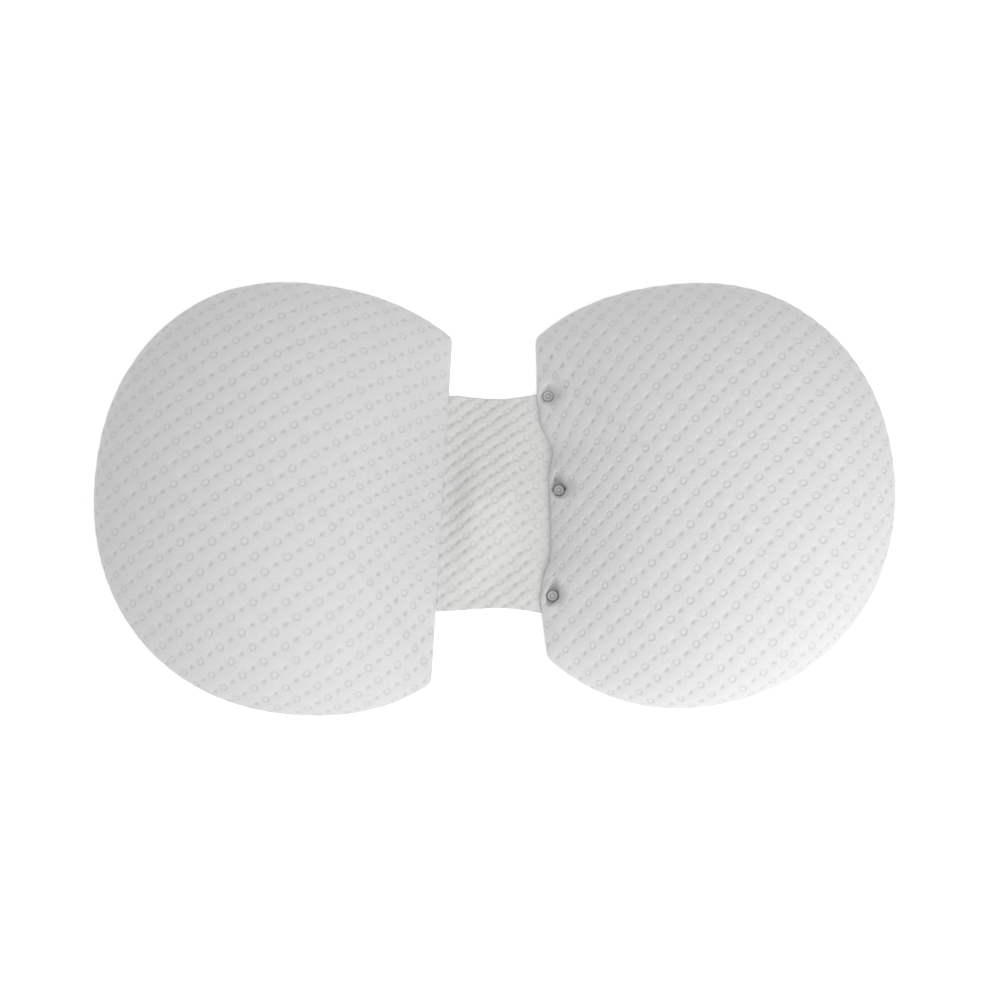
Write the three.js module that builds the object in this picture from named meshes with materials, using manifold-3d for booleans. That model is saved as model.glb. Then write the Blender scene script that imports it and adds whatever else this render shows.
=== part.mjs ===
// Pregnancy wedge pillow: two D-shaped wedge cushions that lie on their flat bases,
// a slack cloth strap that joins their thin inner edges, and three snaps that fasten
// the strap under the right cushion's edge.
// Millimetres, +Z up. The origin is on the resting surface, between the cushions.
import * as THREE from "three";
import { mergeVertices } from "three/addons/utils/BufferGeometryUtils.js";
import Module from "manifold-3d";

const wasm = await Module();
wasm.setup();

// Driving dimensions of the cushions, in the plan of each: +x points away from the
// inner edge, and outer, inner and sides are the round outline's reach from the centre,
// sides for y below and above 0. fullness is the outline's power in each quarter: the
// inner ones first, and in each pair the one for y below 0.
// The inner edge cuts that outline straight, at the distance cut from the centre.
// spine and rise give the wedge: its height at the inner edge and what it gains, the
// faster near that edge the higher wedgeCurve is.
const leftCushion = {
  centre: [-168.9, 1.5],
  turn: 176.8,
  outer: 191,
  inner: 191,
  sides: [197, 200],
  fullness: [
    [2.2, 2.2],
    [2.2, 2.1],
  ],
  cut: 120.5,
  spine: 24,
  rise: 105,
  wedgeCurve: 3,
  ribs: 35,
  edgeLine: [],
};
const rightCushion = {
  centre: [165.9, 4.5],
  turn: 1.8,
  outer: 194.5,
  inner: 181,
  sides: [197, 194],
  fullness: [
    [2, 2.3],
    [2.05, 2.15],
  ],
  cut: 123,
  spine: 34,
  rise: 100,
  wedgeCurve: 2.2,
  ribs: 45,
  // How far the hem draws back from the straight edge, at places along it.
  edgeLine: [
    { along: -144, drawn: 0 },
    { along: -108, drawn: -2.5 },
    { along: -92, drawn: -3.8 },
    { along: -81, drawn: -1.6 },
    { along: -45, drawn: 7.8 },
    { along: 2, drawn: 8.4 },
    { along: 20, drawn: 8 },
    { along: 44, drawn: 12.4 },
    { along: 78, drawn: 1.5 },
    { along: 103, drawn: -0.5 },
    { along: 128, drawn: 0 },
  ],
};
const outlineSteps = 720;
const outlineHalvings = 40;
const cornerSharpness = 110;
const crownSharpness = 6;
const crownCornerPower = 12;
const crownFullness = 2.4;
const rimAtEdge = 7;
const rimAtOuter = 60;
const rimRun = 240;
const baseRoll = 0.85;

// Ribs of the knitted cover, raised and sunk by half of ribHeight. They fade out over
// the lowest ribFade of the cushion. A slice has cushionRing points round it.
const ribPitch = 15.7;
const ribHeight = 1.8;
const ribFade = 18;
const tipStep = 1.5;
const cushionRing = 42;

// The strap between the cushions. Its ends are tucked into the seam of the left cushion
// and under the lip of the right one, with sideRoom beside them.
const strap = {
  thickness: 2.4,
  edgeFullness: 16,
  middle: -1.5,
  halfAtLeft: 101,
  halfAtWaist: 98,
  halfAtRight: 106,
  tuckLeft: 12,
  tuckRight: 23,
  sideRoom: 2,
  levelLeft: 5,
  levelRight: 4,
  lowest: 2,
  ribs: 36,
  ribPitch: 10.4,
  ribHeight: 0.9,
  ring: 30,
};
// The slack cloth stands up in a roof with its ridge from hem to seam, and a valley
// runs down from the ridge beside the hem.
const ridge = {
  from: [47, 15],
  to: [-50, -13],
  height: 19,
  slopeAbove: 0.19,
  slopeBelow: 0.24,
  round: 7,
};
const valley = { from: [42, 6], to: [2, -104], depth: 5, spread: 15 };
const floorBlend = 0.8;
// Shares of the strap's run where it leaves the seam and where it meets the hem.
const strapFree = { seam: [0.12, 0.36], hem: [0.56, 0.78] };
// Distances from the middle between which the strap's ribs fade out.
const strapRibFull = 30;
const strapRibEnd = 40;
// Clearance between neighbouring pieces, and how far a cutter reaches out of its piece.
const gap = 0.3;
const cutterReach = 20;

// The snaps: place along the inner edge and distance in from it.
const snaps = [
  { name: "snap_top", along: 98, inset: 10 },
  { name: "snap_middle", along: 9, inset: 17 },
  { name: "snap_bottom", along: -89, inset: 7.5 },
];
const capRadius = 5.2;
const postRadius = 1.8;
const studRadius = 4.4;
const studThickness = 1.5;
const lipThickness = 3;
const dimpleRadius = 6.2;
const dimpleSlope = 1.7;
const dimpleBlend = 1.6;
const snapSides = 18;
const studEdge = 0.5;
const capSide = 0.9;
const capHeight = 2.3;
// The cap's top from its rim to its middle, by distance in from the rim and drop below
// the crest: a shoulder, a raised ring, a moat and a small boss.
const capFace = [
  { inset: 0.7, drop: 0.3 },
  { inset: 1.5, drop: 0 },
  { inset: 2.5, drop: 0.7 },
  { inset: 3.6, drop: 0.8 },
  { inset: 4.2, drop: 0.2 },
  { inset: capRadius, drop: 0.1 },
];

// Heights that follow from the stack at a snap: stud, strap, lip and cap.
const strapTop = strap.levelRight + strap.thickness / 2;
const lipBottom = strapTop + gap;
const lipTop = lipBottom + lipThickness;
const capBottom = lipTop + gap;
const studTop = strap.levelRight - strap.thickness / 2 - gap;
const studBottom = studTop - studThickness;

// Small helpers
const radians = THREE.MathUtils.degToRad;
const lerp = THREE.MathUtils.lerp;
const smooth = THREE.MathUtils.smoothstep;

function softMinimum(a, b, blend) {
  const low = Math.min(a, b);
  return low - blend * Math.log(Math.exp((low - a) / blend) + Math.exp((low - b) / blend));
}

function softMaximum(a, b, sharpness) {
  return (a ** sharpness + b ** sharpness) ** (1 / sharpness);
}

// A smooth curve through the rows of a cushion's edge line.
function drawnBack(cushion, along) {
  const rows = cushion.edgeLine;
  const next = rows.findIndex((row) => row.along > along);
  if (next < 1) return 0;
  const a = rows[next - 1];
  const b = rows[next];
  return lerp(a.drawn, b.drawn, smooth(along, a.along, b.along));
}

// Outline of a cushion: below 1 inside it and 1 on its edge.
function roundGauge(cushion, x, y) {
  const [outward, above] = [Number(x > 0), Number(y > 0)];
  const reach = outward ? cushion.outer : cushion.inner;
  const power = cushion.fullness[outward][above];
  const sum = (Math.abs(x) / reach) ** power + (Math.abs(y) / cushion.sides[above]) ** power;
  return sum ** (1 / power);
}

function straightGauge(cushion, x, y) {
  return Math.max(0, -x / (cushion.cut - drawnBack(cushion, y)));
}

function outlineGauge(cushion, x, y) {
  return softMaximum(roundGauge(cushion, x, y), straightGauge(cushion, x, y), cornerSharpness);
}

// The same gauge with corners that soften towards the middle of the cushion.
function crownGauge(cushion, x, y) {
  const round = roundGauge(cushion, x, y);
  const straight = straightGauge(cushion, x, y);
  const nearest = Math.min(1, Math.max(round, straight));
  const sharpness = lerp(crownSharpness, cornerSharpness, nearest ** crownCornerPower);
  return Math.min(1, softMaximum(round, straight, sharpness));
}

function outlinePoints(cushion) {
  const points = [];
  for (let i = 0; i < outlineSteps; i++) {
    const angle = (2 * Math.PI * i) / outlineSteps;
    let inside = 0;
    let outside = 2 * cushion.inner;
    for (let halving = 0; halving < outlineHalvings; halving++) {
      const radius = (inside + outside) / 2;
      const within = outlineGauge(cushion, radius * Math.cos(angle), radius * Math.sin(angle)) < 1;
      if (within) inside = radius;
      else outside = radius;
    }
    points.push(new THREE.Vector2(inside * Math.cos(angle), inside * Math.sin(angle)));
  }
  return points;
}

// Height of the widest line round the side, u millimetres from the inner edge.
function rimHeight(u) {
  return lerp(rimAtEdge, rimAtOuter, smooth(u, 0, rimRun));
}

function dimple(cushion, x, y, height) {
  let lowered = height;
  for (const snap of snaps) {
    const distance = Math.hypot(x + cushion.cut - snap.inset, y - snap.along);
    const funnel = lipTop + dimpleSlope * Math.max(0, distance - dimpleRadius);
    lowered = softMinimum(lowered, funnel, dimpleBlend);
  }
  return lowered;
}

function cushionTop(cushion, x, y) {
  const length = cushion.cut + cushion.outer;
  const u = THREE.MathUtils.clamp(x + cushion.cut, 0, length);
  const rim = rimHeight(u);
  const spine = cushion.spine + cushion.rise * (1 - (1 - u / length) ** cushion.wedgeCurve);
  const crown = Math.sqrt(1 - crownGauge(cushion, x, y) ** crownFullness);
  const height = rim + (spine - rim) * crown;
  return cushion.edgeLine.length === 0 ? height : Math.max(rim, dimple(cushion, x, y, height));
}

function cushionBottom(cushion, x, y) {
  const rim = rimHeight(Math.max(0, x + cushion.cut));
  const flat = 1 - (baseRoll * rim) / cushion.cut;
  const share = Math.max(0, (crownGauge(cushion, x, y) - flat) / (1 - flat));
  return rim * (1 - Math.sqrt(Math.max(0, 1 - share ** 2)));
}

// A closed solid made of slices along the ribs of its cloth. Every second slice is
// raised by half a rib and the others are sunk by as much.
function ribbedSolid({ outline, ribs, pitch, height, ringPoints, surface, fade }) {
  const along = new THREE.Vector2(Math.cos(ribs), Math.sin(ribs));
  const across = new THREE.Vector2(-Math.sin(ribs), Math.cos(ribs));
  const offsets = outline.map((p) => p.dot(across));
  const lowest = outline[offsets.indexOf(Math.min(...offsets))];
  const highest = outline[offsets.indexOf(Math.max(...offsets))];
  const from = lowest.dot(across);
  const to = highest.dot(across);

  function chord(offset) {
    const ends = [];
    outline.forEach((p, i) => {
      const q = outline[(i + 1) % outline.length];
      const a = p.dot(across) - offset;
      const b = q.dot(across) - offset;
      if (a > 0 !== b > 0) ends.push(lerp(p.dot(along), q.dot(along), a / (a - b)));
    });
    return [Math.min(...ends), Math.max(...ends)];
  }

  function slice(offset) {
    const [start, end] = chord(offset);
    return Array.from({ length: ringPoints }, (_, j) => {
      const angle = (2 * Math.PI * j) / ringPoints;
      const place = lerp(start, end, (1 - Math.cos(angle)) / 2);
      const x = along.x * place + across.x * offset;
      const y = along.y * place + across.y * offset;
      return surface(x, y, angle <= Math.PI, Math.cos(angle));
    });
  }

  const steps = [{ offset: from + tipStep, raised: 0 }];
  const half = pitch / 2;
  for (let i = Math.ceil((from + 2 * tipStep) / half); i * half < to - 2 * tipStep; i++) {
    steps.push({ offset: i * half, raised: i % 2 ? -height / 2 : height / 2 });
  }
  steps.push({ offset: to - tipStep, raised: 0 });
  const rings = steps.map((step) => slice(step.offset));

  // Ribs stand square to the surface.
  const ribbed = rings.map((ring, i) =>
    ring.map((point, j) => {
      const before = rings[Math.max(0, i - 1)][j];
      const after = rings[Math.min(rings.length - 1, i + 1)][j];
      const left = ring[(j + ringPoints - 1) % ringPoints];
      const right = ring[(j + 1) % ringPoints];
      const normal = right.clone().sub(left).cross(after.clone().sub(before)).normalize();
      return point.clone().addScaledVector(normal, steps[i].raised * fade(point));
    }),
  );

  const vertices = ribbed.flat();
  const firstTip = vertices.length;
  const lastTip = firstTip + 1;
  vertices.push(surface(lowest.x, lowest.y, true, 1), surface(highest.x, highest.y, true, 1));
  const index = [];
  for (let j = 0; j < ringPoints; j++) {
    const next = (j + 1) % ringPoints;
    const last = (rings.length - 1) * ringPoints;
    index.push(firstTip, next, j);
    index.push(lastTip, last + j, last + next);
    for (let i = 0; i < rings.length - 1; i++) {
      const a = i * ringPoints + j;
      const b = i * ringPoints + next;
      index.push(a, b, a + ringPoints);
      index.push(b, b + ringPoints, a + ringPoints);
    }
  }
  const geometry = new THREE.BufferGeometry().setFromPoints(vertices);
  geometry.setIndex(index);
  return geometry;
}

// Joining and cutting
function toSolid(geometry) {
  const bare = geometry.clone();
  bare.deleteAttribute("normal");
  bare.deleteAttribute("uv");
  const merged = mergeVertices(bare, 1e-4);
  return new wasm.Manifold(
    new wasm.Mesh({
      numProp: 3,
      vertProperties: new Float32Array(merged.attributes.position.array),
      triVerts: new Uint32Array(merged.index.array),
    }),
  );
}

function toGeometry(solid) {
  const mesh = solid.getMesh();
  const geometry = new THREE.BufferGeometry();
  geometry.setAttribute("position", new THREE.BufferAttribute(mesh.vertProperties, 3));
  geometry.setIndex(new THREE.BufferAttribute(mesh.triVerts, 1));
  const faceted = geometry.toNonIndexed();
  faceted.computeVertexNormals();
  return faceted;
}

function cutBy(geometry, cutters) {
  return toGeometry(cutters.reduce((solid, cutter) => solid.subtract(toSolid(cutter)), toSolid(geometry)));
}

function block(x, y, z) {
  const geometry = new THREE.BoxGeometry(x[1] - x[0], y[1] - y[0], z[1] - z[0]);
  return geometry.translate((x[0] + x[1]) / 2, (y[0] + y[1]) / 2, (z[0] + z[1]) / 2);
}

function upright(radius, x, y, z) {
  const geometry = new THREE.CylinderGeometry(radius, radius, z[1] - z[0], snapSides);
  return geometry.rotateX(Math.PI / 2).translate(x, y, (z[0] + z[1]) / 2);
}

// A point of a cushion's own plan, seen in the pillow's.
function inPillow(cushion, x, y) {
  const turned = new THREE.Vector2(x, y).rotateAround(new THREE.Vector2(), radians(cushion.turn));
  return turned.add(new THREE.Vector2(...cushion.centre));
}

// Where the strap's middle line meets a cushion's inner edge, along that edge.
function strapMiddle(cushion) {
  const slant = Math.tan(radians(cushion.turn));
  return (strap.middle - cushion.centre[1]) / Math.cos(radians(cushion.turn)) + cushion.cut * slant;
}

function cushionGeometry(cushion) {
  const point = (x, y, upper) =>
    new THREE.Vector3(x, y, upper ? cushionTop(cushion, x, y) : cushionBottom(cushion, x, y));
  return ribbedSolid({
    outline: outlinePoints(cushion),
    ribs: radians(cushion.ribs - cushion.turn),
    pitch: ribPitch,
    height: ribHeight,
    ringPoints: cushionRing,
    surface: point,
    fade: (p) => smooth(p.z, 0, ribFade),
  });
}

// The seam at the left cushion's inner edge, which holds the end of the strap.
function leftCushionGeometry() {
  const edge = -leftCushion.cut;
  const middle = strapMiddle(leftCushion);
  const reach = strap.halfAtLeft + strap.sideRoom;
  const half = strap.thickness / 2 + gap;
  const seam = block(
    [edge - cutterReach, edge + strap.tuckLeft + gap],
    [middle - reach, middle + reach],
    [strap.levelLeft - half, strap.levelLeft + half],
  );
  return cutBy(cushionGeometry(leftCushion), [seam]);
}

// The right cushion's hem is a lip over the end of the strap, with a flat seat and a
// hole for each snap.
function rightCushionGeometry() {
  const edge = -rightCushion.cut;
  const middle = strapMiddle(rightCushion);
  const reach = strap.halfAtRight + strap.sideRoom;
  const pocket = block(
    [edge - cutterReach, edge + strap.tuckRight + strap.sideRoom],
    [middle - reach, middle + reach],
    [-cutterReach, lipBottom],
  );
  const cutters = [pocket];
  for (const snap of snaps) {
    const x = edge + snap.inset;
    cutters.push(upright(capRadius + gap, x, snap.along, [lipTop, lipTop + 2 * cutterReach]));
    cutters.push(upright(postRadius + gap, x, snap.along, [0, capBottom]));
  }
  return cutBy(cushionGeometry(rightCushion), cutters);
}

// Strap: its plan runs from end (0) to end (1) and from edge (-1) to edge (1).
function strapPlan(end, side) {
  const waist = lerp(strap.halfAtLeft, strap.halfAtRight, end);
  const half = lerp(waist, strap.halfAtWaist, Math.sin(Math.PI * end) ** 2);
  const y = side * half;
  const alongLeft = strapMiddle(leftCushion) - y;
  const atLeft = inPillow(leftCushion, strap.tuckLeft - leftCushion.cut, alongLeft);
  const alongRight = strapMiddle(rightCushion) + y;
  const atRight = inPillow(rightCushion, strap.tuckRight - rightCushion.cut, alongRight);
  return atLeft.lerp(atRight, end);
}

// How far a place lies beside a crease's line, and how far past its ends.
function fromCrease(crease, place) {
  const start = new THREE.Vector2(...crease.from);
  const run = new THREE.Vector2(...crease.to).sub(start);
  const offset = place.clone().sub(start);
  const along = offset.dot(run) / run.length();
  return {
    beside: offset.cross(run) / run.length(),
    past: Math.max(0, -along, along - run.length()),
  };
}

// 1 on the free cloth between the cushions and 0 where they hold it.
function slack(end) {
  return smooth(end, ...strapFree.seam) * (1 - smooth(end, ...strapFree.hem));
}

function strapLevel(end, place) {
  const held = lerp(strap.levelLeft, strap.levelRight, end);
  const { beside } = fromCrease(ridge, place);
  const slope = beside > 0 ? ridge.slopeAbove : ridge.slopeBelow;
  const roof = ridge.height - slope * (Math.hypot(beside, ridge.round) - ridge.round);
  const crease = fromCrease(valley, place);
  const away = Math.hypot(crease.beside, crease.past) / valley.spread;
  const sunk = valley.depth * Math.exp(-(away ** 2));
  const free = -softMinimum(-strap.lowest, sunk - roof, floorBlend);
  return lerp(held, free, slack(end));
}

function strapGeometry() {
  const long = strapPlan(1, 0).x - strapPlan(0, 0).x;
  const wide = 2 * strap.halfAtWaist;
  const corners = [
    new THREE.Vector2(0, -wide / 2),
    new THREE.Vector2(long, -wide / 2),
    new THREE.Vector2(long, wide / 2),
    new THREE.Vector2(0, wide / 2),
  ];
  const point = (x, y, upper, across) => {
    const end = x / long;
    const place = strapPlan(end, y / (wide / 2));
    const half = (strap.thickness / 2) * Math.sqrt(1 - across ** strap.edgeFullness);
    return new THREE.Vector3(place.x, place.y, strapLevel(end, place) + (upper ? half : -half));
  };
  const cloth = ribbedSolid({
    outline: corners,
    ribs: radians(strap.ribs),
    pitch: strap.ribPitch,
    height: strap.ribHeight,
    ringPoints: strap.ring,
    surface: point,
    fade: (p) => smooth(p.x, -strapRibEnd, -strapRibFull) * (1 - smooth(p.x, strapRibFull, strapRibEnd)),
  });
  const holes = snaps.map((snap) => {
    const place = inPillow(rightCushion, snap.inset - rightCushion.cut, snap.along);
    return upright(postRadius + gap, place.x, place.y, [0, lipTop]);
  });
  return cutBy(cloth, holes);
}

// Snap: a stud under the strap, a post through strap and lip, and a cap on the lip.
function snapGeometry() {
  const crest = capBottom + capHeight;
  const profile = [
    [0, studBottom],
    [studRadius - studEdge, studBottom],
    [studRadius, studBottom + studEdge],
    [studRadius, studTop],
    [postRadius, studTop],
    [postRadius, capBottom],
    [capRadius, capBottom],
    [capRadius, capBottom + capSide],
    ...capFace.map(({ inset, drop }) => [capRadius - inset, crest - drop]),
  ];
  const points = profile.map(([radius, height]) => new THREE.Vector2(radius, height));
  return new THREE.LatheGeometry(points, snapSides).rotateX(Math.PI / 2);
}

// Materials
function coverCloth() {
  return new THREE.MeshStandardMaterial({ color: 0xe4e4e4, roughness: 0.92, metalness: 0 });
}

function snapPlastic() {
  return new THREE.MeshStandardMaterial({ color: 0xa3a39f, roughness: 0.45, metalness: 0 });
}

function named(name, geometry, material) {
  const mesh = new THREE.Mesh(geometry, material);
  mesh.name = name;
  return mesh;
}

function placeCushion(mesh, cushion) {
  mesh.position.set(...cushion.centre, 0);
  mesh.rotation.z = radians(cushion.turn);
  return mesh;
}

const pillow = new THREE.Group();
pillow.name = "pregnancy_wedge_pillow";
pillow.add(placeCushion(named("left_cushion", leftCushionGeometry(), coverCloth()), leftCushion));
pillow.add(placeCushion(named("right_cushion", rightCushionGeometry(), coverCloth()), rightCushion));
pillow.add(named("strap", strapGeometry(), coverCloth()));
for (const snap of snaps) {
  const place = inPillow(rightCushion, snap.inset - rightCushion.cut, snap.along);
  const mesh = named(snap.name, snapGeometry(), snapPlastic());
  mesh.position.set(place.x, place.y, 0);
  pillow.add(mesh);
}

export default pillow;
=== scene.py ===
# Pregnancy wedge pillow: the finished look of two knit-covered wedge cushions, the
# slack strap between them and its three snaps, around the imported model.
import math

import bpy
import numpy as np
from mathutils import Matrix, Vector


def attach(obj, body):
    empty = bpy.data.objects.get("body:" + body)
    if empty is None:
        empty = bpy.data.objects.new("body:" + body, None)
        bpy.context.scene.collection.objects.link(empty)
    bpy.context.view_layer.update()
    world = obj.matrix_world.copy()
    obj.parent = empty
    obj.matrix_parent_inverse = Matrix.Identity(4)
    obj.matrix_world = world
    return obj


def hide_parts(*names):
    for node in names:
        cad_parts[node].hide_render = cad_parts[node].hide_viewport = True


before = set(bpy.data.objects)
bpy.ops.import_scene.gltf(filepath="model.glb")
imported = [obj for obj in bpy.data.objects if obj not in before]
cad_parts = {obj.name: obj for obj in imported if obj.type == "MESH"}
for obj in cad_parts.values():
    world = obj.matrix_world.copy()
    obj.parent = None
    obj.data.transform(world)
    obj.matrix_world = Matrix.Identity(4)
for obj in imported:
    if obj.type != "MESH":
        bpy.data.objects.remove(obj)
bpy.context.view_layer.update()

MM = 0.001

# The cushions, in metres and degrees. In the plan of each, +x points away from the
# inner edge, and outer, inner and sides are the round outline's reach from the centre,
# sides for y below and above 0. fullness is the outline's power in each quarter: the
# inner ones first, and in each pair the one for y below 0.
LEFT = {
    "centre": (-0.1689, 0.0015),
    "turn": 176.8,
    "outer": 0.191,
    "inner": 0.191,
    "sides": (0.197, 0.200),
    "fullness": ((2.2, 2.2), (2.2, 2.1)),
    "cut": 0.1205,
    "spine": 0.024,
    "rise": 0.105,
    "wedge_curve": 3.0,
    "rows": 35,
    "hem": [],
}
RIGHT = {
    "centre": (0.1659, 0.0045),
    "turn": 1.8,
    "outer": 0.1945,
    "inner": 0.181,
    "sides": (0.197, 0.194),
    "fullness": ((2.0, 2.3), (2.05, 2.15)),
    "cut": 0.123,
    "spine": 0.034,
    "rise": 0.100,
    "wedge_curve": 2.2,
    "rows": 45,
    # How far the hem draws back from the straight edge, at places along it.
    "hem": [
        (-0.144, 0.0000),
        (-0.108, -0.0025),
        (-0.092, -0.0038),
        (-0.081, -0.0016),
        (-0.045, 0.0078),
        (0.002, 0.0084),
        (0.020, 0.0080),
        (0.044, 0.0124),
        (0.078, 0.0015),
        (0.103, -0.0005),
        (0.128, 0.0000),
    ],
}
# How sharply the round outline meets the straight edge: at the rim, and further in.
CORNER_SHARPNESS = 110
CROWN_SHARPNESS = 6
CROWN_CORNER_POWER = 12
CROWN_FULLNESS = 2.4
RIM_AT_EDGE = 0.007
RIM_AT_OUTER = 0.060
RIM_RUN = 0.240
BASE_ROLL = 0.85

# The snaps: place along the right cushion's inner edge and distance in from it.
SNAPS = {
    "snap_top": (0.098, 0.010),
    "snap_middle": (0.009, 0.017),
    "snap_bottom": (-0.089, 0.0075),
}
# Round each snap the cover is drawn down: how steeply, how softly the dip runs out, and
# along which creases, each with its heading in degrees, its length and half its width
# beside the snap.
DRAWN = {
    "snap_top": {"slope": 2.6, "blend": 0.0030, "creases": []},
    "snap_middle": {"slope": 3.0, "blend": 0.0015, "creases": [(97, 0.0155, 0.0058)]},
    "snap_bottom": {
        "slope": 3.0,
        "blend": 0.0015,
        "creases": [(80, 0.0155, 0.0054), (-112, 0.0100, 0.0056)],
    },
}
# The dip begins at DRAWN_RADIUS from the snap's axis. A crease has walls and a bed that
# climb by these slopes, and it narrows to its tip by the power CREASE_TAPER.
DRAWN_RADIUS = 0.0050
CREASE_WALL = 4.0
CREASE_CLIMB = 0.32
CREASE_TAPER = 0.7
# A crease's painted shade: how softly it fades out at the crease's sides and end, and the most it
# reaches.
PAINTED_SHADE_EDGE = 0.0020
PAINTED_SHADE_MOST = 0.50
LIP_BOTTOM = 0.0055
LIP_TOP = 0.0085
# How the strap's pocket under the lip runs out: at its end, and beside the strap.
POCKET_END = 0.004
POCKET_SIDE = (0.001, 0.003)
# A snap's turned outline from the stud's underside to the middle of the cap's face: radius and
# height of each ring in millimetres, and how much painted shade darkens it, most in the cap's groove
# and some round its rim.
SNAP_OUTLINE = [
    (0.0, 1.0, 0.0),
    (3.7, 1.0, 0.0),
    (4.2, 1.2, 0.0),
    (4.4, 1.6, 0.0),
    (4.4, 2.3, 0.0),
    (4.2, 2.5, 0.0),
    (1.8, 2.5, 0.0),
    (1.8, 8.8, 0.0),
    (4.6, 8.8, 0.2),
    (4.9, 9.1, 0.2),
    (4.9, 9.6, 0.2),
    (4.7, 10.2, 0.2),
    (4.4, 10.7, 0.2),
    (4.0, 11.0, 0.1),
    (3.6, 11.05, 0.0),
    (3.2, 10.9, 0.2),
    (2.8, 10.5, 0.7),
    (2.5, 10.15, 0.9),
    (2.0, 10.0, 0.9),
    (1.7, 10.15, 0.7),
    (1.3, 10.55, 0.2),
    (0.7, 10.75, 0.0),
    (0.0, 10.8, 0.0),
]
SNAP_SIDES = 72

# The strap.
STRAP = {
    "thickness": 0.0024,
    "middle": -0.0015,
    "half_left": 0.101,
    "half_waist": 0.098,
    "half_right": 0.106,
    "tuck_left": 0.012,
    "tuck_right": 0.023,
    "level_left": 0.005,
    "level_right": 0.004,
    "lowest": 0.002,
    "rows": 36,
}
# The slack cloth stands up in a roof with its ridge from hem to seam, and a valley
# runs down from the ridge beside the hem.
RIDGE = {
    "start": (0.047, 0.015),
    "end": (-0.050, -0.013),
    "height": 0.019,
    "slope_above": 0.19,
    "slope_below": 0.24,
    "round": 0.007,
}
VALLEY = {"start": (0.042, 0.006), "end": (0.002, -0.104), "depth": 0.005, "spread": 0.015}
FLOOR_BLEND = 0.0008
# Shares of the strap's run where it leaves the seam and where it meets the hem.
FREE_SEAM = (0.12, 0.36)
FREE_HEM = (0.56, 0.78)

# The knitted cover: rows of small rings and dots, with a puffed rib between rows.
RING_PITCH = 0.0237
ROW_PITCH = 0.0157
STRAP_RING_PITCH = 0.0200
STRAP_ROW_PITCH = 0.0104
DOT_LENGTH = 0.0026
DOT_WIDTH = 0.0016
RING_RADIUS = 0.0030
RING_WIDTH = 0.0011
# The relief in the mesh: the ribs' height, how narrow their crests are, the dots' depth.
COVER_RELIEF = {"rib": 0.45 * MM, "power": 1.6, "dot": 0.85 * MM}
STRAP_RELIEF = {"rib": 1.1 * MM, "power": 0.9, "dot": 0.7 * MM}
RIB_MIDDLE = 0.6
RING_SHARE = 0.5
# The relief starts above the base, fades round the sides, and ends under the hem.
RELIEF_HEIGHTS = (0.001, 0.012)
SIDE_RELIEF = 0.35
SIDE_FACING = 0.5
STRAP_RELIEF_END = (0.7, 0.8)
UNDERSIDE_RELIEF = 0.5

# The fine knit in the material. In millimetres are the widths of the soft bumps that
# make up a ring and a dot, and the height of the small loops and of the fuzz. Scales are
# per millimetre of cloth. Round a mark, the cloth rises by RISE_SHARE of its depth.
RING_BELL = 0.8
COLLAR_STEP = 1.6
BOSS_BELL = 1.3
DOT_BELL = 1.0
RISE_SHARE = 0.3
LOOP_SCALE = 1.15
LOOP_UNEVENNESS = 0.35
LOOP_DEPTH = 0.14
FUZZ_SCALE = 0.9
FUZZ_DETAIL = 4.0
FUZZ_HEIGHT = 0.50
MOTTLE_SCALE = 0.05
MOTTLE_DETAIL = 3.0
# How much darker the colour is made by painted shade in the marks' dimples and in a crease, by the
# random mottling, and by painted shade in a snap's groove and round its rim.
MARK_PAINTED_SHADE = 0.13
CREASE_PAINTED_SHADE = 0.9
MOTTLE_SHADE = 0.05
SNAP_PAINTED_SHADE = 0.32
COVER_COLOUR = (0.702, 0.702, 0.709)
COVER_MARK = 0.6
STRAP_COLOUR = (0.710, 0.704, 0.697)
STRAP_MARK = 0.4
SNAP_DARK = (0.55, 0.55, 0.535, 1)
SNAP_LIGHT = (0.67, 0.67, 0.65, 1)
SNAP_HAZE_SCALE = 900.0
SNAP_HAZE_DETAIL = 3.0


def smooth(x, low, high):
    t = np.clip((x - low) / (high - low), 0, 1)
    return t * t * (3 - 2 * t)


def lerp(a, b, t):
    return a + (b - a) * t


def soft_min(a, b, blend):
    low = np.minimum(a, b)
    return low - blend * np.log(np.exp((low - a) / blend) + np.exp((low - b) / blend))


def soft_max(a, b, sharpness):
    return (a**sharpness + b**sharpness) ** (1 / sharpness)


def drawn_back(cushion, along):
    rows = cushion["hem"]
    drawn = np.zeros_like(along)
    for (a, here), (b, there) in zip(rows, rows[1:]):
        within = (along >= a) & (along < b)
        drawn = np.where(within, lerp(here, there, smooth(along, a, b)), drawn)
    return drawn


def round_gauge(cushion, x, y):
    outward, above = (x > 0).astype(int), (y > 0).astype(int)
    reach = np.array([cushion["inner"], cushion["outer"]])[outward]
    side = np.array(cushion["sides"])[above]
    power = np.array(cushion["fullness"])[outward, above]
    return (np.abs(x / reach) ** power + np.abs(y / side) ** power) ** (1 / power)


def straight_gauge(cushion, x, y):
    return np.maximum(0, -x / (cushion["cut"] - drawn_back(cushion, y)))


def crown_gauge(cushion, x, y):
    rounded = round_gauge(cushion, x, y)
    straight = straight_gauge(cushion, x, y)
    nearest = np.clip(np.maximum(rounded, straight), 1e-9, 1)
    sharpness = lerp(CROWN_SHARPNESS, CORNER_SHARPNESS, nearest**CROWN_CORNER_POWER)
    return np.minimum(1, soft_max(rounded, straight, sharpness))


def rim_height(u):
    return lerp(RIM_AT_EDGE, RIM_AT_OUTER, smooth(u, 0, RIM_RUN))


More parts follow.
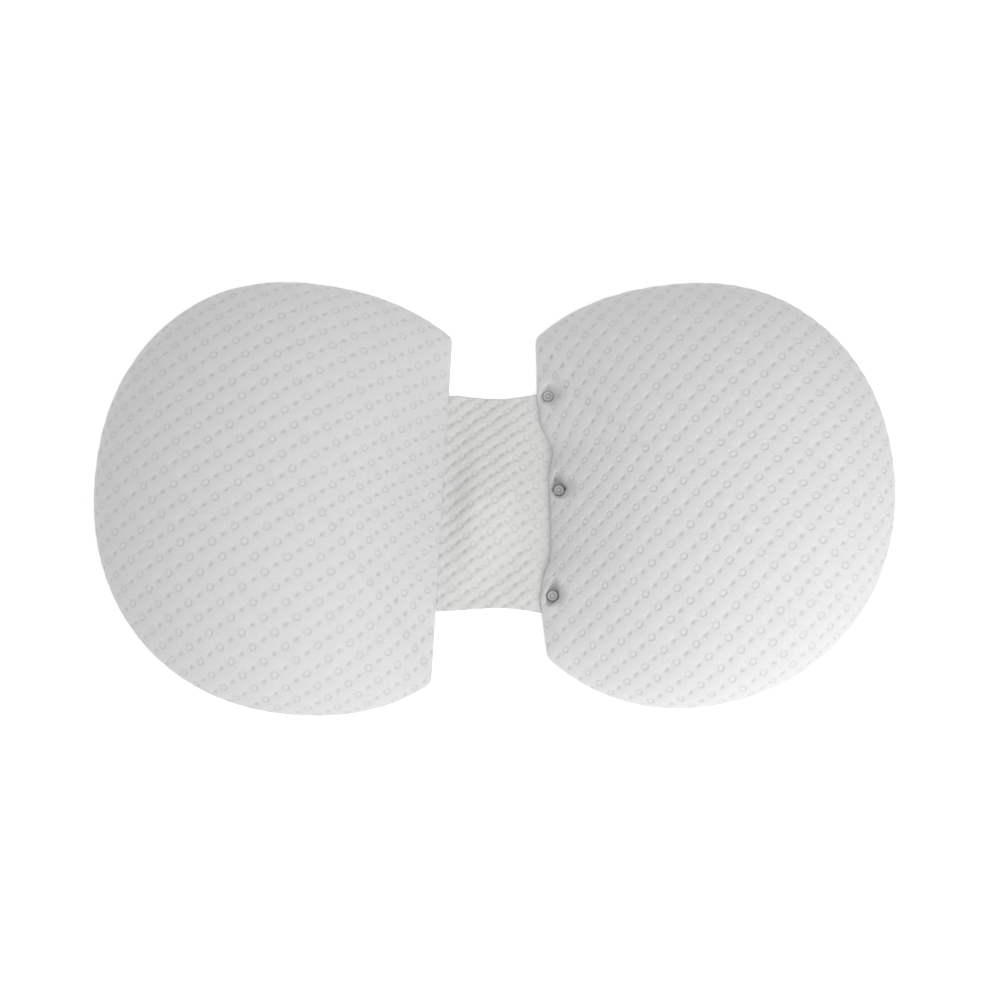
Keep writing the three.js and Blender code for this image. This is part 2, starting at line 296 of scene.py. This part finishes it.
def plain_top(cushion, x, y):
    length = cushion["cut"] + cushion["outer"]
    u = np.clip(x + cushion["cut"], 0, length)
    rim = rim_height(u)
    spine = cushion["spine"] + cushion["rise"] * (1 - (1 - u / length) ** cushion["wedge_curve"])
    crown = np.sqrt(np.maximum(0, 1 - crown_gauge(cushion, x, y) ** CROWN_FULLNESS))
    return rim + (spine - rim) * crown


def dimpled_top(cushion, x, y):
    """The height of the cover, and the painted shade in its creases, from 0 to 1."""
    height = plain_top(cushion, x, y)
    painted_shade = np.zeros_like(height)
    if not cushion["hem"]:
        return height, painted_shade
    for name, (along, inset) in SNAPS.items():
        right, up = x + cushion["cut"] - inset, y - along
        slope = DRAWN[name]["slope"]
        funnel = LIP_TOP + slope * np.maximum(0, np.hypot(right, up) - DRAWN_RADIUS)
        blend = DRAWN[name]["blend"]
        height = soft_min(height, funnel, blend)
        for heading, length, half_width in DRAWN[name]["creases"]:
            heading = math.radians(heading)
            ahead = right * math.cos(heading) + up * math.sin(heading)
            beside = np.abs(up * math.cos(heading) - right * math.sin(heading))
            left = np.clip(1 - ahead / length, 0, 1)
            width = half_width * left**CREASE_TAPER
            past_side, past_end = beside - width, np.maximum(-ahead, ahead - length)
            wall = CREASE_WALL * np.hypot(np.maximum(0, past_side), np.maximum(0, past_end))
            height = soft_min(height, LIP_TOP + CREASE_CLIMB * np.maximum(ahead, 0) + wall, blend)
            # Painted shade in the crease, darkest by the snap and fading towards its tip.
            inside = 1 - smooth(np.maximum(past_side, past_end), -PAINTED_SHADE_EDGE, PAINTED_SHADE_EDGE)
            painted_shade = np.maximum(painted_shade, np.minimum(inside * left, PAINTED_SHADE_MOST))
    rim = rim_height(np.maximum(0, x + cushion["cut"]))
    return np.maximum(rim, height), painted_shade


def underside(cushion, x, y):
    rim = rim_height(np.maximum(0, x + cushion["cut"]))
    flat = 1 - BASE_ROLL * rim / cushion["cut"]
    share = np.clip((crown_gauge(cushion, x, y) - flat) / (1 - flat), 0, 1)
    height = rim * (1 - np.sqrt(1 - share**2))
    if cushion["hem"]:
        middle = strap_middle(cushion)
        end = cushion["cut"] - STRAP["tuck_right"]
        side_start, side_end = (STRAP["half_right"] + room for room in POCKET_SIDE)
        inside = smooth(-x, end - POCKET_END, end)
        inside *= 1 - smooth(np.abs(y - middle), side_start, side_end)
        height = np.maximum(height, inside * LIP_BOTTOM)
    return height


def strap_middle(cushion):
    turn = math.radians(cushion["turn"])
    level = (STRAP["middle"] - cushion["centre"][1]) / math.cos(turn)
    return level + cushion["cut"] * math.tan(turn)


def in_pillow(cushion, x, y):
    turn = math.radians(cushion["turn"])
    return (
        cushion["centre"][0] + x * math.cos(turn) - y * math.sin(turn),
        cushion["centre"][1] + x * math.sin(turn) + y * math.cos(turn),
    )


# How finely a cover's shape is tabled, and how often its outline's reach is halved.
DIRECTIONS = 1440
MERIDIAN = 240
PROFILE_POINTS = 300
HALVINGS = 40


def boundary_reach(cushion, angles):
    inside = np.zeros_like(angles)
    outside = np.full_like(angles, 2 * cushion["inner"])
    for _ in range(HALVINGS):
        reach = (inside + outside) / 2
        x, y = reach * np.cos(angles), reach * np.sin(angles)
        gauge = soft_max(round_gauge(cushion, x, y), straight_gauge(cushion, x, y), CORNER_SHARPNESS)
        within = gauge < 1
        inside = np.where(within, reach, inside)
        outside = np.where(within, outside, reach)
    return inside


def meridians(cushion, height_of, shares):
    """For each direction, the plan radius at even steps of cloth from the start of shares
    to its end, and the whole length of that cloth."""
    angles = np.linspace(0, 2 * np.pi, DIRECTIONS + 1)
    reach = boundary_reach(cushion, angles)
    radius = reach[:, None] * shares[None, :]
    x, y = radius * np.cos(angles)[:, None], radius * np.sin(angles)[:, None]
    z = height_of(cushion, x, y)
    step = np.hypot(np.diff(radius, axis=1), np.diff(z, axis=1))
    cloth = np.concatenate([np.zeros((len(angles), 1)), np.cumsum(step, axis=1)], axis=1)
    even = np.linspace(0, 1, MERIDIAN + 1)
    table = np.array([np.interp(even, row / row[-1], r) for row, r in zip(cloth, radius)])
    return table, cloth[:, -1]


def look_up(table, angle, share):
    """Bilinear reading of a meridian table at an angle and a share of the cloth."""
    a = (angle % (2 * np.pi)) / (2 * np.pi) * DIRECTIONS
    s = np.clip(share, 0, 1) * MERIDIAN
    i, j = np.minimum(a.astype(int), DIRECTIONS - 1), np.minimum(s.astype(int), MERIDIAN - 1)
    a, s = a - i, s - j
    low = lerp(table[i, j], table[i, j + 1], s)
    high = lerp(table[i + 1, j], table[i + 1, j + 1], s)
    return lerp(low, high, a)


def square_to_disc(n):
    """Even grid on a square, laid on the unit disc: radius and angle of each point."""
    line = np.linspace(-1, 1, n + 1)
    a, b = np.meshgrid(line, line, indexing="ij")
    radius = np.maximum(np.abs(a), np.abs(b))
    across = np.abs(a) >= np.abs(b)
    run = np.where(across, np.where(a == 0, 1, a), 1)
    climb = np.where(across, 1, np.where(b == 0, 1, b))
    level = np.pi / 4 * b / run + np.where(a < 0, np.pi, 0)
    steep = np.pi / 2 - np.pi / 4 * a / climb + np.where(b < 0, np.pi, 0)
    return radius, np.where(across, level, steep)


def rim_loop(index):
    """The outer points of a grid, once round, anticlockwise."""
    return np.concatenate([index[:-1, 0], index[-1, :-1], index[:0:-1, -1], index[0, :0:-1]])


def grid_quads(index):
    corners = [index[:-1, :-1], index[1:, :-1], index[1:, 1:], index[:-1, 1:]]
    return np.stack(corners, axis=-1).reshape(-1, 4)


def new_mesh(name, points, faces, fabric=None):
    mesh = bpy.data.meshes.new(name)
    mesh.from_pydata(points.tolist(), [], faces)
    mesh.update()
    mesh.polygons.foreach_set("use_smooth", np.ones(len(mesh.polygons), bool))
    if fabric is not None:
        layer = mesh.attributes.new("fabric", "FLOAT_VECTOR", "POINT")
        layer.data.foreach_set("vector", fabric.ravel())
    obj = bpy.data.objects.new(name, mesh)
    bpy.context.scene.collection.objects.link(obj)
    return obj


def vertex_normals(points, quads):
    a, b, c, d = (points[quads[:, i]] for i in range(4))
    face = np.cross(c - a, d - b)
    normals = np.zeros_like(points)
    for i in range(4):
        np.add.at(normals, quads[:, i], face)
    return normals / np.maximum(np.linalg.norm(normals, axis=1, keepdims=True), 1e-12)


def knit_relief(fabric, ring_pitch, row_pitch, rib, power, dot):
    """Height of the cloth over its base: puffed ribs between the rows, with a dimple at
    each dot and a soft hollow at each ring. fabric is in rings along and rows across."""
    along, across = fabric[:, 0], fabric[:, 1]
    puff = np.abs(np.sin(np.pi * across)) ** power
    in_row = (across - np.round(across)) * row_pitch
    from_dot = (along - np.floor(along) - 0.5) * ring_pitch
    dots = np.exp(-((from_dot / DOT_LENGTH) ** 2) - (in_row / DOT_WIDTH) ** 2)
    from_ring = np.hypot((along - np.round(along)) * ring_pitch, in_row)
    rings = np.exp(-(((from_ring - RING_RADIUS) / RING_WIDTH) ** 2))
    return rib * (puff - RIB_MIDDLE) - dot * dots - RING_SHARE * dot * rings


# A cover's mesh: cells across the top, rows round the side, and the share of the
# outline's reach at which those rows end on the flat base.
GRID = 256
SIDE_ROWS = 28
BASE_SHARE = 0.6


def cushion(name, shape, node):
    quarter = np.linspace(0, np.pi / 2, PROFILE_POINTS)
    crown_shares = np.sin(quarter)
    under_shares = BASE_SHARE + (1 - BASE_SHARE) * np.cos(quarter)
    top_table, top_cloth = meridians(shape, plain_top, crown_shares)
    side_table, side_cloth = meridians(shape, underside, under_shares)
    round_angles = np.linspace(0, 2 * np.pi, DIRECTIONS + 1)

    share, angle = (part.ravel() for part in square_to_disc(GRID))
    radius = look_up(top_table, angle, share)
    x, y = radius * np.cos(angle), radius * np.sin(angle)
    z, painted_shade = dimpled_top(shape, x, y)
    cloth = share * np.interp(angle % (2 * np.pi), round_angles, top_cloth)
    points = [np.stack([x, y, z], axis=1)]
    laid = [np.stack([cloth * np.cos(angle), cloth * np.sin(angle)], axis=1)]

    index = np.arange((GRID + 1) ** 2).reshape(GRID + 1, GRID + 1)
    loop = rim_loop(index)
    rim_angle = angle[loop]
    rim_cloth = cloth[loop]
    quads = [grid_quads(index)]
    above = loop
    for row in range(1, SIDE_ROWS + 1):
        part = np.full(len(loop), row / SIDE_ROWS)
        radius = look_up(side_table, rim_angle, part)
        x, y = radius * np.cos(rim_angle), radius * np.sin(rim_angle)
        cloth = rim_cloth + part * np.interp(rim_angle % (2 * np.pi), round_angles, side_cloth)
        points.append(np.stack([x, y, underside(shape, x, y)], axis=1))
        laid.append(np.stack([cloth * np.cos(rim_angle), cloth * np.sin(rim_angle)], axis=1))
        below = np.arange(len(loop)) + (GRID + 1) ** 2 + (row - 1) * len(loop)
        quads.append(np.stack([above, below, np.roll(below, -1), np.roll(above, -1)], axis=1))
        above = below
    points, laid, quads = np.concatenate(points), np.concatenate(laid), np.concatenate(quads)

    rows = math.radians(shape["rows"] - shape["turn"])
    # The fabric layer's third number is the painted crease shade on the top, and 0 round the sides.
    fabric = np.stack(
        [
            (laid[:, 0] * math.cos(rows) + laid[:, 1] * math.sin(rows)) / RING_PITCH,
            (laid[:, 1] * math.cos(rows) - laid[:, 0] * math.sin(rows)) / ROW_PITCH,
            np.concatenate([painted_shade, np.zeros(len(laid) - len(painted_shade))]),
        ],
        axis=1,
    )
    normals = vertex_normals(points, quads)
    lift = knit_relief(fabric, RING_PITCH, ROW_PITCH, **COVER_RELIEF)
    lift *= smooth(points[:, 2], *RELIEF_HEIGHTS)
    lift *= lerp(SIDE_RELIEF, 1, smooth(normals[:, 2], 0.0, SIDE_FACING))
    points = points + normals * lift[:, None]
    placed = in_pillow(shape, points[:, 0], points[:, 1])
    points = np.stack([*placed, np.maximum(points[:, 2], 0)], axis=1)
    obj = new_mesh(name, points, quads.tolist() + [above[::-1].tolist()], fabric)
    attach(obj, "root")
    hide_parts(node)
    return obj


def strap_plan(end, side):
    waist = lerp(STRAP["half_left"], STRAP["half_right"], end)
    half = lerp(waist, STRAP["half_waist"], np.sin(np.pi * end) ** 2)
    y = side * half
    left = in_pillow(LEFT, STRAP["tuck_left"] - LEFT["cut"], strap_middle(LEFT) - y)
    right = in_pillow(RIGHT, STRAP["tuck_right"] - RIGHT["cut"], strap_middle(RIGHT) + y)
    return lerp(left[0], right[0], end), lerp(left[1], right[1], end)


def from_crease(crease, x, y):
    """How far places lie beside a crease's line, and how far past its ends."""
    start = np.array(crease["start"])
    run = np.array(crease["end"]) - start
    length = np.hypot(*run)
    along = ((x - start[0]) * run[0] + (y - start[1]) * run[1]) / length
    beside = ((x - start[0]) * run[1] - (y - start[1]) * run[0]) / length
    return beside, np.maximum(0, np.maximum(-along, along - length))


def slack(end):
    """1 on the free cloth between the cushions and 0 where they hold it."""
    return smooth(end, *FREE_SEAM) * (1 - smooth(end, *FREE_HEM))


def strap_level(end, x, y):
    held = lerp(STRAP["level_left"], STRAP["level_right"], end)
    beside, _ = from_crease(RIDGE, x, y)
    slope = np.where(beside > 0, RIDGE["slope_above"], RIDGE["slope_below"])
    roof = RIDGE["height"] - slope * (np.hypot(beside, RIDGE["round"]) - RIDGE["round"])
    beside, past = from_crease(VALLEY, x, y)
    sunk = VALLEY["depth"] * np.exp(-((np.hypot(beside, past) / VALLEY["spread"]) ** 2))
    free = -soft_min(-STRAP["lowest"], sunk - roof, FLOOR_BLEND)
    return lerp(held, free, slack(end))


STRAP_COLUMNS = 116
STRAP_ROWS = 184


def strap():
    columns = np.linspace(0, 1, STRAP_COLUMNS + 1)
    rows = np.linspace(-1, 1, STRAP_ROWS + 1)
    end, side = np.meshgrid(columns, rows, indexing="ij")
    end, side = end.ravel(), side.ravel()
    x, y = strap_plan(end, side)
    z = strap_level(end, x, y)
    points = np.stack([x, y, z], axis=1)
    index = np.arange(len(x)).reshape(STRAP_COLUMNS + 1, STRAP_ROWS + 1)
    quads = grid_quads(index)
    normals = vertex_normals(points, quads)
    rows = math.radians(STRAP["rows"])
    fabric = np.stack(
        [
            (x * math.cos(rows) + y * math.sin(rows)) / STRAP_RING_PITCH,
            (y * math.cos(rows) - x * math.sin(rows)) / STRAP_ROW_PITCH,
            np.zeros(len(x)),
        ],
        axis=1,
    )
    lift = knit_relief(fabric, STRAP_RING_PITCH, STRAP_ROW_PITCH, **STRAP_RELIEF)
    lift *= 1 - smooth(end, *STRAP_RELIEF_END)
    half = STRAP["thickness"] / 2
    upper = points + normals * (half + lift[:, None])
    lower = points + normals * (-half + UNDERSIDE_RELIEF * lift[:, None])
    count = len(points)
    loop = rim_loop(index)
    nxt = np.roll(loop, -1)
    wall = np.stack([loop, loop + count, nxt + count, nxt], axis=1)
    faces = np.concatenate([quads, quads[:, ::-1] + count, wall])
    both = np.concatenate([upper, lower])
    obj = new_mesh("strap_cloth", both, faces.tolist(), np.tile(fabric, (2, 1)))
    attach(obj, "root")
    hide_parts("strap")
    return obj


def snap(name, along, inset):
    """A turned solid. Its painted shade, darkest in the cap's groove, is the third number of its
    fabric layer.
    """
    angles = np.linspace(0, 2 * np.pi, SNAP_SIDES, endpoint=False)
    x0, y0 = in_pillow(RIGHT, inset - RIGHT["cut"], along)
    start, *rings, end = SNAP_OUTLINE
    points = [(x0, y0, start[1] * MM)]
    shades = [start[2]]
    for radius, height, shade in rings:
        reach = radius * MM
        points += [(x0 + reach * math.cos(a), y0 + reach * math.sin(a), height * MM) for a in angles]
        shades += [shade] * SNAP_SIDES
    points.append((x0, y0, end[1] * MM))
    shades.append(end[2])
    faces = []
    for j in range(SNAP_SIDES):
        k = (j + 1) % SNAP_SIDES
        faces.append((0, 1 + k, 1 + j))
        for i in range(len(rings) - 1):
            a, b = 1 + i * SNAP_SIDES, 1 + (i + 1) * SNAP_SIDES
            faces.append((a + j, a + k, b + k, b + j))
        last = 1 + (len(rings) - 1) * SNAP_SIDES
        faces.append((last + j, last + k, len(points) - 1))
    fabric = np.stack([np.zeros(len(shades)), np.zeros(len(shades)), shades], axis=1)
    obj = new_mesh(name + "_cap", np.array(points), faces, fabric)
    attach(obj, "root")
    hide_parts(name)
    return obj


class Nodes:
    """Small helper that adds shader nodes and links them."""

    def __init__(self, name):
        self.material = bpy.data.materials.new(name)
        self.material.use_nodes = True
        self.tree = self.material.node_tree
        self.shader = self.tree.nodes["Principled BSDF"]

    def add(self, kind, inputs=(), **settings):
        node = self.tree.nodes.new(kind)
        for key, value in settings.items():
            setattr(node, key, value)
        for key, value in dict(inputs).items():
            self.set(node.inputs[key], value)
        return node

    def set(self, socket, value):
        if isinstance(value, bpy.types.NodeSocket):
            self.tree.links.new(value, socket)
        else:
            socket.default_value = value

    def math(self, operation, a, b=0.0, c=0.0):
        node = self.add("ShaderNodeMath", {0: a, 1: b, 2: c}, operation=operation)
        return node.outputs[0]

    def vector(self, operation, a, b=(0, 0, 0)):
        return self.add("ShaderNodeVectorMath", {0: a, 1: b}, operation=operation)

    def bell(self, value, centre, width):
        """A smooth bump of height 1 where value is centre."""
        off = self.math("DIVIDE", self.math("SUBTRACT", value, centre), width)
        return self.math("EXPONENT", self.math("MULTIPLY", self.math("MULTIPLY", off, off), -1.0))

    def fabric(self):
        """The mesh's fabric layer, and its third number: the painted shade there, from 0 to 1."""
        fabric = self.add("ShaderNodeAttribute", attribute_name="fabric").outputs["Vector"]
        return fabric, self.add("ShaderNodeSeparateXYZ", {0: fabric}).outputs[2]

    def in_cell(self, fabric, shift):
        """Where a place lies in its own cell of the repeat, from -0.5 to 0.5."""
        cell = self.vector("ADD", fabric, shift).outputs[0]
        cell = self.vector("FRACTION", cell).outputs[0]
        return self.vector("SUBTRACT", cell, (0.5, 0.5, 0)).outputs[0]

    def tinted(self, colour, tone):
        """A colour or a colour socket, multiplied by a grey tone."""
        grey = self.add("ShaderNodeCombineColor", {0: tone, 1: tone, 2: tone})
        mix = self.add("ShaderNodeMix", {"Factor": 1.0}, data_type="RGBA", blend_type="MULTIPLY")
        self.set(mix.inputs[6], colour)
        self.set(mix.inputs[7], grey.outputs[0])
        return mix.outputs[2]


def knit_material(name, colour, ring_pitch, row_pitch, mark):
    n = Nodes(name)
    fabric, painted_shade = n.fabric()
    pitch = (ring_pitch / MM, row_pitch / MM, 0)
    to_ring = n.vector("MULTIPLY", n.in_cell(fabric, (0.5, 0.5, 0)), pitch).outputs[0]
    ring_distance = n.vector("LENGTH", to_ring).outputs["Value"]
    oval = (ring_pitch / DOT_LENGTH, row_pitch / DOT_WIDTH, 0)
    to_dot = n.vector("MULTIPLY", n.in_cell(fabric, (0, 0.5, 0)), oval).outputs[0]
    dot_distance = n.vector("LENGTH", to_dot).outputs["Value"]
    ring = n.bell(ring_distance, RING_RADIUS / MM, RING_BELL)
    collar = n.bell(ring_distance, RING_RADIUS / MM + COLLAR_STEP, RING_BELL)
    boss = n.bell(ring_distance, 0.0, BOSS_BELL)
    dot = n.bell(dot_distance, 0.0, DOT_BELL)
    marks = n.math("ADD", n.math("MULTIPLY", ring, RING_SHARE), dot)

    grain = n.vector("MULTIPLY", fabric, pitch).outputs[0]
    loop_settings = {"Vector": grain, "Scale": LOOP_SCALE, "Randomness": LOOP_UNEVENNESS}
    loops = n.add("ShaderNodeTexVoronoi", loop_settings)
    fuzz = n.add("ShaderNodeTexNoise", {"Vector": grain, "Scale": FUZZ_SCALE, "Detail": FUZZ_DETAIL})
    mottle_settings = {"Vector": grain, "Scale": MOTTLE_SCALE, "Detail": MOTTLE_DETAIL}
    mottle = n.add("ShaderNodeTexNoise", mottle_settings)

    height = n.math("MULTIPLY", marks, -mark)
    height = n.math("MULTIPLY_ADD", boss, RISE_SHARE * mark, height)
    height = n.math("MULTIPLY_ADD", collar, RISE_SHARE * mark, height)
    height = n.math("MULTIPLY_ADD", loops.outputs["Distance"], -LOOP_DEPTH, height)
    height = n.math("MULTIPLY_ADD", fuzz.outputs["Fac"], FUZZ_HEIGHT, height)
    bump = n.add("ShaderNodeBump", {"Strength": 1.0, "Distance": MM, "Height": height})
    n.set(n.shader.inputs["Normal"], bump.outputs[0])

    # Painted shade in the dimples of the rings and dots.
    tone = n.math("MULTIPLY_ADD", marks, -MARK_PAINTED_SHADE, 1.0)
    # Painted shade in the creases by the snaps.
    tone = n.math("MULTIPLY_ADD", painted_shade, -CREASE_PAINTED_SHADE, tone)
    uneven = n.math("SUBTRACT", mottle.outputs["Fac"], 0.5)
    tone = n.math("MULTIPLY_ADD", uneven, MOTTLE_SHADE, tone)
    n.set(n.shader.inputs["Base Color"], n.tinted((*colour, 1.0), tone))
    n.set(n.shader.inputs["Roughness"], 0.95)
    n.set(n.shader.inputs["Sheen Weight"], 0.15)
    n.set(n.shader.inputs["Sheen Roughness"], 0.5)
    n.set(n.shader.inputs["Specular IOR Level"], 0.2)
    return n.material


def snap_material():
    n = Nodes("grey_snap")
    coords = n.add("ShaderNodeTexCoord").outputs["Object"]
    haze_settings = {"Vector": coords, "Scale": SNAP_HAZE_SCALE, "Detail": SNAP_HAZE_DETAIL}
    haze = n.add("ShaderNodeTexNoise", haze_settings)
    ramp = n.add("ShaderNodeValToRGB", {"Fac": haze.outputs["Fac"]})
    ramp.color_ramp.elements[0].color = SNAP_DARK
    ramp.color_ramp.elements[1].color = SNAP_LIGHT
    _, painted_shade = n.fabric()
    # Painted shade in the cap's groove and round its rim.
    tone = n.math("MULTIPLY_ADD", painted_shade, -SNAP_PAINTED_SHADE, 1.0)
    n.set(n.shader.inputs["Base Color"], n.tinted(ramp.outputs["Color"], tone))
    bump_settings = {"Strength": 0.15, "Distance": 0.1 * MM, "Height": haze.outputs["Fac"]}
    bump = n.add("ShaderNodeBump", bump_settings)
    n.set(n.shader.inputs["Normal"], bump.outputs[0])
    n.set(n.shader.inputs["Roughness"], 0.38)
    return n.material


FLOOR_REACH = 30.0
FLOOR_COLOUR = (0.93, 0.93, 0.93, 1)
FLOOR_GLOW = 0.36
# Each light: name, place, target, width in metres, watts and spread in degrees.
LIGHTS = [
    ("key", (0.5, -0.5, 0.95), (0.1, 0, 0.03), 0.8, 4.1, 180),
    ("front", (0.45, -1.0, 0.6), (0.24, -0.1, 0.03), 0.7, 0.28, 60),
]
SURROUND = 0.72


def floor():
    reach = FLOOR_REACH
    corners = [(-reach, -reach, 0), (reach, -reach, 0), (reach, reach, 0), (-reach, reach, 0)]
    mesh = bpy.data.meshes.new("floor")
    mesh.from_pydata(corners, [], [(0, 1, 2, 3)])
    obj = bpy.data.objects.new("floor", mesh)
    bpy.context.scene.collection.objects.link(obj)
    n = Nodes("pale_floor")
    n.set(n.shader.inputs["Base Color"], FLOOR_COLOUR)
    n.set(n.shader.inputs["Emission Color"], (1, 1, 1, 1))
    n.set(n.shader.inputs["Emission Strength"], FLOOR_GLOW)
    n.set(n.shader.inputs["Roughness"], 0.9)
    mesh.materials.append(n.material)


def area_light(name, place, target, size, watts, spread):
    data = bpy.data.lights.new(name, "AREA")
    data.shape = "DISK"
    data.size = size
    data.energy = watts
    data.spread = math.radians(spread)
    obj = bpy.data.objects.new(name, data)
    obj.location = place
    obj.rotation_euler = (Vector(target) - Vector(place)).to_track_quat("-Z", "Y").to_euler()
    bpy.context.scene.collection.objects.link(obj)


def lights():
    for light in LIGHTS:
        area_light(*light)
    world = bpy.data.worlds.new("soft_studio")
    world.use_nodes = True
    background = world.node_tree.nodes["Background"]
    background.inputs["Color"].default_value = (1, 1, 1, 1)
    background.inputs["Strength"].default_value = SURROUND
    bpy.context.scene.world = world
    bpy.context.scene.view_settings.view_transform = "Standard"


CAMERA_ELEVATION = 81
CAMERA_DISTANCE = 1.80
CAMERA_AIM = (0.005, -0.007, 0.06)
CAMERA_LENS = 72


def camera():
    data = bpy.data.cameras.new("camera")
    data.lens = CAMERA_LENS
    data.sensor_width = 36
    data.clip_end = 100
    obj = bpy.data.objects.new("camera", data)
    tilt = math.radians(CAMERA_ELEVATION)
    aim = Vector(CAMERA_AIM)
    obj.location = aim + CAMERA_DISTANCE * Vector((0, -math.cos(tilt), math.sin(tilt)))
    obj.rotation_euler = (math.radians(90 - CAMERA_ELEVATION), 0, 0)
    bpy.context.scene.collection.objects.link(obj)
    bpy.context.scene.camera = obj


knit = knit_material("white_knit", COVER_COLOUR, RING_PITCH, ROW_PITCH, COVER_MARK)
strap_knit = knit_material("strap_knit", STRAP_COLOUR, STRAP_RING_PITCH, STRAP_ROW_PITCH, STRAP_MARK)
plastic = snap_material()
for made, material in (
    (cushion("left_cover", LEFT, "left_cushion"), knit),
    (cushion("right_cover", RIGHT, "right_cushion"), knit),
    (strap(), strap_knit),
    *((snap(name, *place), plastic) for name, place in SNAPS.items()),
):
    made.data.materials.append(material)
floor()
lights()
camera()
